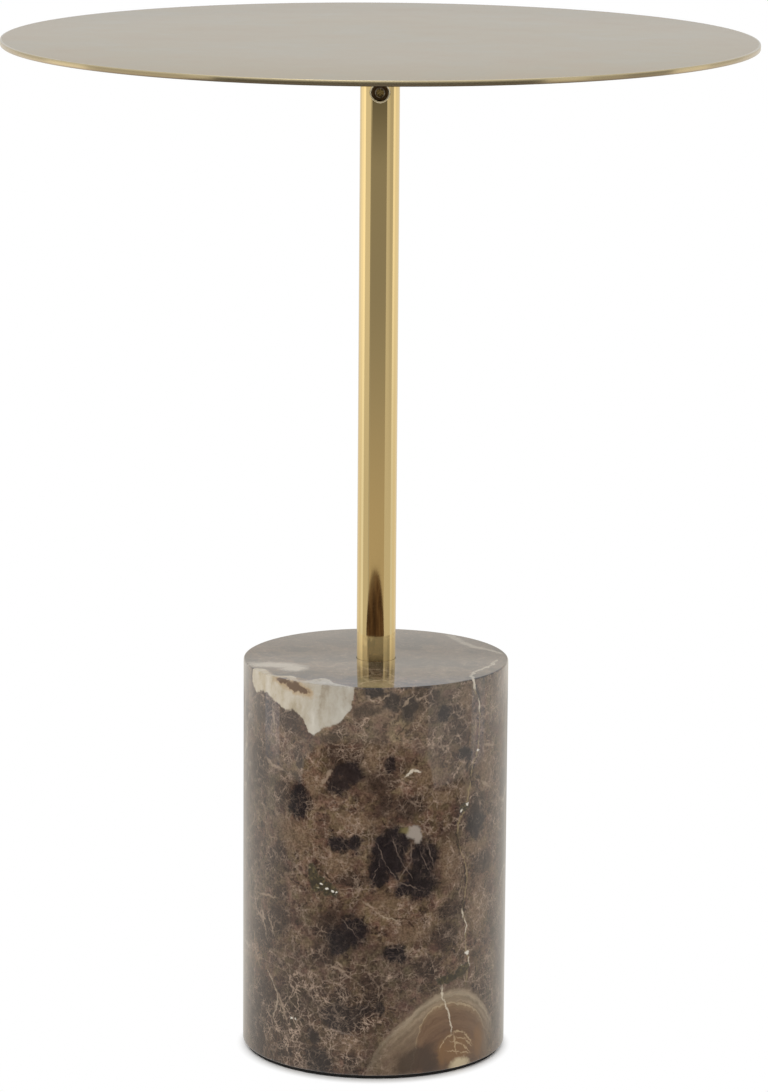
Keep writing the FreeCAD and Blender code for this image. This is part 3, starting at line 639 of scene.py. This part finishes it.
def agate_swirl(add, colour, at):
    """Agate swirl: two arcs with bands below each, then its darker, rusty and creamy parts and its ribs."""
    for arc, fade_in, soft, stops in (
            (OUTER_ARC, 30, 2.4, ((0.0, "#6F5D4C"), (0.03, "#96846D"), (0.08, "#A09079"), (0.13, "#8B7962"),
                              (0.18, "#94816A"), (0.24, "#7C6954"), (0.31, "#86725B"), (0.40, "#705C49"),
                              (0.52, "#7B6650"), (1.0, "#6A5644"))),
            (INNER_ARC, 8, 0.7, ((0.0, "#8C7659"), (0.015, "#AE9A7C"), (0.04, "#886F54"), (0.10, "#785D45"),
                              (0.20, "#6C513B"), (0.28, "#765A42"), (0.40, "#654A36"), (0.55, "#6B4F39"),
                              (1.0, "#4C3A2E")))):
        below = add("Math", {0: follow(add, at.around, arc), 1: at.up}, operation="SUBTRACT")
        share = add("MapRange", {"Value": below, "From Max": BAND_SPAN})
        bands = set_stops(add("ValToRGB", {"Fac": share}), stops)
        inside = add("MapRange", {"Value": below, "From Min": -soft, "From Max": soft, "To Max": 0.9})
        inside = fade_ends(add, inside, at.around, arc, fade_in, ARC_FADE)
        streaky = add("CombineXYZ", {"X": at.around, "Y": below})
        streaky = add("VectorMath", {0: streaky, 1: (0.12, 0.9, 1)}, operation="MULTIPLY")
        streaks = add("TexNoise", {"Vector": streaky, "Scale": 0.8, "Detail": 4, "Roughness": 0.6})
        streaks = add("MapRange", {
            "Value": streaks, "From Min": 0.3, "From Max": 0.7, "To Min": 0.78, "To Max": 1.22})
        bands = add("HueSaturation", {"Value": streaks, "Color": bands})
        colour = add("Mix", {"Factor": inside, "A": colour, "B": bands}, data_type="RGBA")
    return paint_spots(add, colour, at, (
        (SWIRL_DARK, "#3C2D23", 0.6, 1.25, 0.55, 0.8),
        (SWIRL_RUST, "#84603B", 0.8, 1.3, 0.4, 0.7),
        (SWIRL_CREAM, "#CBBA98", 1.0, 1.3, 0.5, 0.9),
        (strokes(SWIRL_RIBS), "#C6AE88", 1.4, 1.5, 0.4, 0.6)))


def veins_and_strokes(add, colour, at):
    """Four long veins of uneven width, then short dark, faint, pale and bright strokes."""
    thickness = add("MapRange", {
        "Value": at.flakes, "From Min": 0.35, "From Max": 0.65, "To Min": 0.35, "To Max": 1.2})
    for points, climbs, half_width, tint, strength in (
            (RIGHT_VEIN, True, 0.9, "#94825F", 0.75),
            (FOOT_VEIN, True, 1.0, "#D3C6B0", 0.95),
            (LEFT_VEIN, True, 1.3, "#AD9A86", 0.8),
            (HAIR_VEIN, False, 0.8, "#A89780", 0.8)):
        travel, across = at.around, at.up
        if climbs:
            travel, across = across, travel
            points = [(up, around) for around, up in points]
        half = add("Math", {0: thickness, 1: half_width}, operation="MULTIPLY")
        off = add("Math", {0: across, 1: follow(add, travel, points)}, operation="SUBTRACT")
        off = add("Math", {0: off}, operation="ABSOLUTE")
        cover = add("MapRange", {
            "Value": off, "From Min": half, "From Max": 0.0}, interpolation_type="SMOOTHSTEP")
        cover = fade_ends(add, cover, travel, points, VEIN_FADE, VEIN_FADE)
        cover = add("Math", {0: cover, 1: at.on_wall}, operation="MULTIPLY")
        cover = add("Math", {0: cover, 1: strength}, operation="MULTIPLY")
        colour = add("Mix", {"Factor": cover, "A": colour, "B": tint}, data_type="RGBA")
    return paint_spots(add, colour, at, (
        (strokes(DARK_STROKES), "#33281F", 1.2, 1.4, 0.4, 0.8),
        (strokes(FAINT_STROKES), "#7C6C61", 1.6, 1.4, 0.4, 0.65),
        (strokes(PALE_STROKES), "#A6917C", 2.0, 1.4, 0.4, 0.6),
        (strokes(BRIGHT_STROKES), "#CEC2AF", 1.4, 1.4, 0.4, 0.9)))


def calcite_patch(add, colour, at):
    """White calcite at the rim, creamy to the left and cooler to the right, with its brown stain, and the
    white chip with its olive corner."""
    above = add("Math", {0: at.up, 1: follow(add, at.around, CALCITE_EDGE)}, operation="SUBTRACT")
    white = add("MapRange", {
        "Value": above, "From Min": -0.7, "From Max": 0.7}, interpolation_type="SMOOTHSTEP")
    inward = add("Math", {0: follow(add, at.around, CALCITE_REACH), 1: at.depth}, operation="SUBTRACT")
    over = add("MapRange", {
        "Value": inward, "From Min": -1.0, "From Max": 1.0}, interpolation_type="SMOOTHSTEP")
    white = add("Math", {0: white, 1: over}, operation="MULTIPLY")
    streaked = add("VectorMath", {0: at.ragged, 1: (1, 0.35, 1)}, operation="MULTIPLY")
    calcite = add("TexNoise", {"Vector": streaked, "Scale": 1 / 8, "Detail": 5, "Roughness": 0.62})
    creamy = set_stops(add("ValToRGB", {"Fac": calcite}), [
        (0.32, "#A89776"), (0.45, "#BFB198"), (0.58, "#CBC0AC"), (0.75, "#D8CFBF")])
    cool = set_stops(add("ValToRGB", {"Fac": calcite}), [
        (0.32, "#948A7B"), (0.45, "#A9A193"), (0.58, "#B4AEA2"), (0.75, "#C6C1B6")])
    coolness = add("MapRange", {"Value": at.around, "From Min": -62, "From Max": -22})
    tone = add("Mix", {"Factor": coolness, "A": creamy, "B": cool}, data_type="RGBA")
    colour = add("Mix", {"Factor": white, "A": colour, "B": tone}, data_type="RGBA")
    return paint_spots(add, colour, at, (
        (STAIN, "#A98858", 1.6, 2.2, 1.0, 0.6),
        (STAIN, "#553B27", 1.6, 1.2, 0.7, 0.9),
        (CHIP, "#A0958A", 0.8, 1.3, 0.7, 0.9),
        (CHIP_CORNER, "#7C714B", 0.8, 1.5, 0.5, 0.8)))


def upper_marks(add, colour, at):
    """Pale marks of the upper face."""
    level = shifted(add, at.flat, at.place, 4, 2.4)
    for spots, tint, outer, inner, strength in (
            (TOP_PALE, "#D3CBBE", 1.4, 0.5, 0.8),
            (strokes(TOP_NET), "#B29D82", 1.6, 0.3, 0.5),
            (strokes(TOP_STREAKS), "#CFC5B4", 1.4, 0.4, 0.75)):
        inside = spots_cover(add, level, spots, at.flakes, 0.8, outer, inner, strength)
        inside = add("Math", {0: inside, 1: at.on_top}, operation="MULTIPLY")
        colour = add("Mix", {"Factor": inside, "A": colour, "B": tint}, data_type="RGBA")
    return colour


def polished_marble(add):
    """Brown breccia marble, turned and polished: broken dark lumps in a crushed brown ground, a net of pale
    cement, pale veins, a white calcite patch and an agate swirl, all under one clear gloss."""
    at = marble_places(add)
    colour, in_ground = placed_lumps(add, breccia_ground(add, at), at)
    colour = chance_lumps(add, colour, at)
    colour = cement_net(add, colour, at, in_ground)
    # Grains of the crushed stone, drawn coarse enough to show
    dust = add("TexNoise", {"Vector": at.place, "Scale": 1 / 1.2, "Detail": 3, "Roughness": 0.7})
    dust = add("MapRange", {
        "Value": dust, "From Min": 0.3, "From Max": 0.7, "To Min": 0.56, "To Max": 1.46})
    colour = add("HueSaturation", {"Value": dust, "Color": colour})
    for layer in (agate_swirl, veins_and_strokes, calcite_patch):
        colour = layer(add, colour, at)
    # The olive pockets are pits that the polishing wheel did not reach, so they are rougher and lower.
    pocket = spots_cover(add, at.ragged, POCKETS, at.flakes, 1.2, 1.2, 0.9, 0.95)
    crystals = add("TexVoronoi", {"Vector": at.place, "Scale": 1 / 1.1}, feature="F1")
    olive = set_stops(add("ValToRGB", {"Fac": crystals.outputs["Color"]}), [
        (0.40, "#383020"), (0.75, "#4F4429"), (0.90, "#6B5D3C"), (0.98, "#D8D0B4")])
    colour = add("Mix", {"Factor": pocket, "A": colour, "B": olive}, data_type="RGBA")
    polish = add("MapRange", {"Value": pocket, "To Min": 0.05, "To Max": 0.4})
    pit = add("Math", {0: pocket, 1: -1}, operation="MULTIPLY")
    relief = add("Bump", {"Height": pit, "Strength": 0.5, "Distance": 0.3 * MM})
    colour = paint_spots(add, colour, at, ((GLINTS, GLINT, 0.6, 1.3, 0.6, 0.9),))
    colour = upper_marks(add, colour, at)
    return add("BsdfPrincipled", {
        "Base Color": colour, "Roughness": polish, "IOR": 1.56, "Normal": relief,
        "Coat Weight": 1.0, "Coat Roughness": 0.04, "Coat IOR": 1.5})


# Pieces

EDGE_ROUND = 0.5 * MM
ARRIS_ROUND = 0.9 * MM
SEAT_RADIUS = TUBE_RADIUS + 0.2 * MM
BORE_RADIUS = 6 * MM
RECESS_RADIUS = 26 * MM


def make_top(material):
    inner = TOP_RADIUS - EDGE_ROUND
    profile = [(0, TOP_LOW.z), (TOP_RADIUS / 2, TOP_LOW.z)]
    profile += round_corner((inner, TOP_LOW.z + EDGE_ROUND), EDGE_ROUND, -90, 0)
    profile += round_corner((inner, TOP_HIGH.z - EDGE_ROUND), EDGE_ROUND, 0, 90)
    profile += [(TOP_RADIUS / 2, TOP_HIGH.z), (0, TOP_HIGH.z)]
    seat(turn_on_lathe("top_sheet", profile, material, sides=360), "table_top")


def make_base(material):
    wall = MARBLE_RADIUS - ARRIS_ROUND
    profile = [(RECESS_RADIUS, MARBLE_LOW.z)]
    profile += round_corner((wall, MARBLE_LOW.z + ARRIS_ROUND), ARRIS_ROUND, -90, 0)
    profile += round_corner((wall, MARBLE_HIGH.z - ARRIS_ROUND), ARRIS_ROUND, 0, 90)
    profile += [
        (SEAT_RADIUS, MARBLE_HIGH.z), (SEAT_RADIUS, SEAT_FLOOR), (BORE_RADIUS, SEAT_FLOOR),
        (BORE_RADIUS, RECESS_ROOF), (RECESS_RADIUS, RECESS_ROOF)]
    seat(turn_on_lathe("marble_cylinder", profile, material), "marble_base")


def dress(node, material):
    """Gives a CAD node its finish."""
    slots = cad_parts[node].data.materials
    slots.clear()
    slots.append(material)


# Stage

WHITE = "#FFFFFF"
WARM_WHITE = "#FFF8ED"
AMBER_WHITE = "#FFEFD6"
# Colours of the dark arch, a painted dark reflection
FELT_DARK = "#35281F"
FELT_BROWN = "#4B382B"
FELT_PALE = "#6C5644"
PALE_FLOOR = "#F2F1EF"
FLOOR_REACH = 6.0
SHADOW_FORWARD = 4.5 * MM
SHADOW_START = MARBLE_RADIUS - 4 * MM
SHADOW_END = MARBLE_RADIUS + 4 * MM
TENT_RADIUS = 0.9
TENT_HEIGHT = 0.58
UPPER_HEIGHT = 2.0
TENT_STEP = 0.06
FOOT_HEIGHT = 0.08
FLOOR_JOIN = 0.04
FLOOR_GLOSS = 0.57
FRONT_GLOSS = 0.03
FRONT_FLOOR = -0.35
BACK_FLOOR = 0.12
CLOTH_STEP = 3
TENT = (
    # panel, from and to in degrees right of the camera's side, light at its foot, at its knee and above the
    # knee, the knee's height, and the cloth's colour at its foot
    ("front_gap", -45, 44, 0.48, 0.29, 0.10, 0.37, AMBER_WHITE),
    ("left_lap", -53, -45, 0.48, 0.31, 0.60, 0.38, WARM_WHITE),
    ("left_cloth", -88, -53, 0.60, 0.73, 0.42, 0.42, WARM_WHITE),
    ("left_strip", -107, -88, 0.87, 1.2, 0.78, 0.43, WHITE),
    ("left_far", -128, -107, 0.75, 1.05, 0.52, 0.42, WARM_WHITE),
    ("right_lap", 44, 57, 0.60, 0.62, 0.68, 0.42, WARM_WHITE),
    ("right_cloth", 57, 70, 0.60, 0.58, 0.38, 0.42, WARM_WHITE),
    ("right_fold", 70, 88, 0.60, 0.50, 0.23, 0.42, WARM_WHITE),
    ("right_strip", 88, 105, 0.74, 1.06, 0.74, 0.42, WHITE),
    ("right_far", 105, 128, 0.75, 0.88, 0.48, 0.42, WARM_WHITE),
    ("back_right", 128, 165, 0.80, 0.85, 0.60, 0.42, WARM_WHITE),
    ("back_cloth", 165, 195, 0.52, 0.49, 0.66, 0.39, AMBER_WHITE),
    ("back_left", 195, 232, 0.80, 0.85, 0.60, 0.42, WARM_WHITE),
)
UPPER_LIGHT = 0.64
UPPER_KNEE = 0.42
ARCH_HEIGHT = 0.075
ARCH_MIDDLE = -7
ARCH_HALF = 57
ARCH_SHAPE = 2.3
ARCH_STEPS = 40
SKY_LIGHT = 0.8
SOFTBOX_SIZE = 1.6
SOFTBOX_POWER = 14
SOFTBOX_PLACE = (-0.5, -1.2, 1.9)
SOFTBOX_TILT = 38


def shown(add, path):
    """1 where the camera, a reflection or clear stuff shows a surface, 0 where it only passes light."""
    seen = add("Math", {
        0: path.outputs["Is Camera Ray"], 1: path.outputs["Is Glossy Ray"]}, operation="ADD")
    return add("Math", {
        0: seen, 1: path.outputs["Is Transmission Ray"]}, operation="ADD", use_clamp=True)


def only_in_reflections(card):
    """A card that polished surfaces show, and that neither the camera sees nor the light is changed by."""
    card.visible_camera = False
    card.visible_diffuse = False
    card.visible_shadow = False
    card.visible_transmission = False


def glow(add, foot, knee, head, knee_height, foot_colour):
    """Woven studio cloth lit from behind, warm below and white above: it glows differently at its foot,
    its knee and above, and is no brighter than the floor where the two meet."""
    height = add("SeparateXYZ", {0: add("NewGeometry").outputs["Position"]}).outputs["Z"]
    climb = add("MapRange", {
        "Value": height, "From Min": FOOT_HEIGHT, "From Max": knee_height * 0.8},
        interpolation_type="SMOOTHSTEP")
    above = add("MapRange", {
        "Value": height, "From Min": knee_height, "From Max": knee_height + TENT_STEP})
    light = add("Mix", {"Factor": climb, "A": foot, "B": knee})
    light = add("Mix", {"Factor": above, "A": light, "B": head})
    off_floor = add("MapRange", {"Value": height, "From Max": FLOOR_JOIN})
    light = add("Mix", {"Factor": off_floor, "A": min(foot, FLOOR_GLOSS), "B": light})
    cloth = add("Mix", {"Factor": climb, "A": foot_colour, "B": WARM_WHITE}, data_type="RGBA")
    whiten = add("MapRange", {
        "Value": height, "From Min": TENT_HEIGHT - TENT_STEP, "From Max": TENT_HEIGHT})
    light = add("Mix", {"Factor": whiten, "A": light, "B": UPPER_LIGHT})
    cloth = add("Mix", {"Factor": whiten, "A": cloth, "B": WHITE}, data_type="RGBA")
    return add("Emission", {"Color": cloth, "Strength": light})


def brown_felt(add):
    """A card that glows dim brown, with darker and redder streaks: a painted dark reflection, shown only by
    polished surfaces.
    """
    place = add("NewGeometry").outputs["Position"]
    streaks = add("VectorMath", {0: place, 1: (3, 3, 60)}, operation="MULTIPLY")
    streaks = add("TexNoise", {"Vector": streaks, "Scale": 1.0, "Detail": 3, "Roughness": 0.6})
    felt = set_stops(add("ValToRGB", {"Fac": streaks}), [
        (0.35, FELT_DARK), (0.5, FELT_BROWN), (0.68, FELT_PALE)])
    return add("Emission", {"Color": felt, "Strength": 1.0})


def bearing(degrees, radius, height):
    """A point of the studio, by its bearing in degrees right of the camera's side."""
    angle = math.radians(degrees)
    return (radius * math.sin(angle), -radius * math.cos(angle), height)


def hang(name, start, end, low, high, material):
    """A curved cloth of the tent, between two bearings and two heights."""
    steps = max(2, round((end - start) / CLOTH_STEP))
    turns = [start + (end - start) * i / steps for i in range(steps + 1)]
    points = [bearing(t, TENT_RADIUS, z) for t in turns for z in (low, high)]
    faces = [(2 * i, 2 * i + 2, 2 * i + 3, 2 * i + 1) for i in range(steps)]
    only_in_reflections(make_piece(name, points, faces, material))


def make_tent():
    for name, start, end, *light in TENT:
        hang(name, start, end, 0.0, TENT_HEIGHT, make_material("woven_cloth_" + name, glow, *light))
    upper = make_material("woven_cloth_upper", glow, *[UPPER_LIGHT] * 3, UPPER_KNEE, WHITE)
    hang("upper_cloth", 0, 360, TENT_HEIGHT, UPPER_HEIGHT, upper)
    # The dark arch: a dim brown glowing card at the tent's foot, shown only in reflections, which paints a
    # dark reflection at the foot of the tube
    turns = [ARCH_MIDDLE + ARCH_HALF * (2 * i / ARCH_STEPS - 1) for i in range(ARCH_STEPS + 1)]
    points = []
    for t in turns:
        aside = min(1, abs((t - ARCH_MIDDLE) / ARCH_HALF))
        rise = ARCH_HEIGHT * (1 - aside ** ARCH_SHAPE) ** (1 / ARCH_SHAPE)
        points += [bearing(t, TENT_RADIUS - MM, 0), bearing(t, TENT_RADIUS - MM, MM + rise)]
    faces = [(2 * i, 2 * i + 2, 2 * i + 3, 2 * i + 1) for i in range(ARCH_STEPS)]
    felt = make_material("brown_felt_pressed", brown_felt)
    only_in_reflections(make_piece("dark_arch", points, faces, felt))


def painted_floor(add):
    """A painted floor, white to the camera but for the shadow at the table's foot. Polished surfaces
    mirror it dimmer, most of all in front and along the middle, where the studio is dark."""
    place = add("NewGeometry").outputs["Position"]
    from_shadow = add("VectorMath", {0: place, 1: (0, SHADOW_FORWARD, 0)}, operation="ADD")
    reach = add("VectorMath", {0: from_shadow}, operation="LENGTH").outputs["Value"]
    open_floor = add("MapRange", {
        "Value": reach, "From Min": SHADOW_START, "From Max": SHADOW_END}, interpolation_type="SMOOTHSTEP")
    path = add("LightPath")
    white_here = add("Math", {0: shown(add, path), 1: open_floor}, operation="MULTIPLY")
    paint = add("BsdfDiffuse", {"Color": PALE_FLOOR})
    parts = add("SeparateXYZ", {0: place})
    mirrored = add("MapRange", {
        "Value": parts.outputs["Y"], "From Min": FRONT_FLOOR, "From Max": BACK_FLOOR,
        "To Min": FRONT_GLOSS, "To Max": FLOOR_GLOSS}, interpolation_type="SMOOTHSTEP")
    aside = add("Math", {0: parts.outputs["X"], 1: parts.outputs["Y"]}, operation="DIVIDE")
    aside = add("Math", {0: aside}, operation="ABSOLUTE")
    straight_back = add("MapRange", {"Value": aside, "From Min": 0.1, "From Max": 0.5, "To Min": 0.5})
    mirrored = add("Math", {0: mirrored, 1: straight_back}, operation="MULTIPLY")
    level = add("Mix", {"Factor": path.outputs["Is Glossy Ray"], "A": 1.0, "B": mirrored})
    shade = add("Mix", {
        "Factor": path.outputs["Is Glossy Ray"], "A": WHITE, "B": WARM_WHITE}, data_type="RGBA")
    white = add("Emission", {"Color": shade, "Strength": level})
    return add("MixShader", {0: white_here, 1: paint, 2: white})


def make_floor():
    corners = [(x * FLOOR_REACH, y * FLOOR_REACH, 0) for x, y in ((-1, -1), (1, -1), (1, 1), (-1, 1))]
    paint = make_material("pale_floor_painted", painted_floor)
    floor = make_piece("floor", corners, [(0, 1, 2, 3)], paint)


def light_studio():
    world = bpy.data.worlds.new("studio")
    bpy.context.scene.world = world
    world.use_nodes = True
    world.node_tree.nodes.clear()
    add = partial(add_node, world.node_tree)
    path = add("LightPath")
    level = add("MapRange", {"Value": shown(add, path), "To Min": SKY_LIGHT, "To Max": 1.0})
    back = add("Background", {"Color": WHITE, "Strength": level})
    add("OutputWorld", {"Surface": back})
    data = bpy.data.lights.new("overhead_softbox", "AREA")
    data.shape = "DISK"
    data.size = SOFTBOX_SIZE
    data.energy = SOFTBOX_POWER
    lamp = bpy.data.objects.new("overhead_softbox", data)
    bpy.context.scene.collection.objects.link(lamp)
    tilt = Matrix.Rotation(math.radians(SOFTBOX_TILT), 4, "X")
    lamp.matrix_world = Matrix.Translation(SOFTBOX_PLACE) @ tilt


set_camera()
light_studio()
make_floor()
make_tent()
brass_sheet = make_material("aged_satin_brass_rubbed", aged_satin_brass)
make_top(brass_sheet)
make_base(make_material("brown_breccia_marble_polished", polished_marble))
dress("mount_disc", brass_sheet)
dress("stem_tube", make_material("polished_brass_buffed", polished_brass))
dress("lock_screw", make_material("blackened_steel_oxidised", blackened_screw))
# Steel left as the lathe turned it: a plain grey shine with faint duller spots
steel = make_material("mild_steel_turned", plain_metal, "#A8A6A2", "#8E8B86", 0.32, 1.5)
dress("top_spigot", steel)
dress("foot_plug", steel)
# Zinc plate: paler and bluer than the steel, with a softer shine
zinc = make_material("steel_zinc_plated", plain_metal, "#B9BBBC", "#9FA3A6", 0.38, 2.5)
for node in ("tie_rod", "plate_washer", "spring_washer", "clamp_nut"):
    dress(node, zinc)
# Pressed fibre: matt and reddish brown, with paler flecks
dress("seat_gasket", make_material("vulcanised_fibre_pressed", matt_stuff, "#6E4A38", "#8A654E", 0.7, 0.6))
# Moulded rubber: dull black, seen as a dark line under the stone
dress("base_pad", make_material("black_rubber_moulded", matt_stuff, "#121212", "#1E1D1C", 0.75, 0.7))
bpy.context.scene.view_settings.view_transform = "Standard"
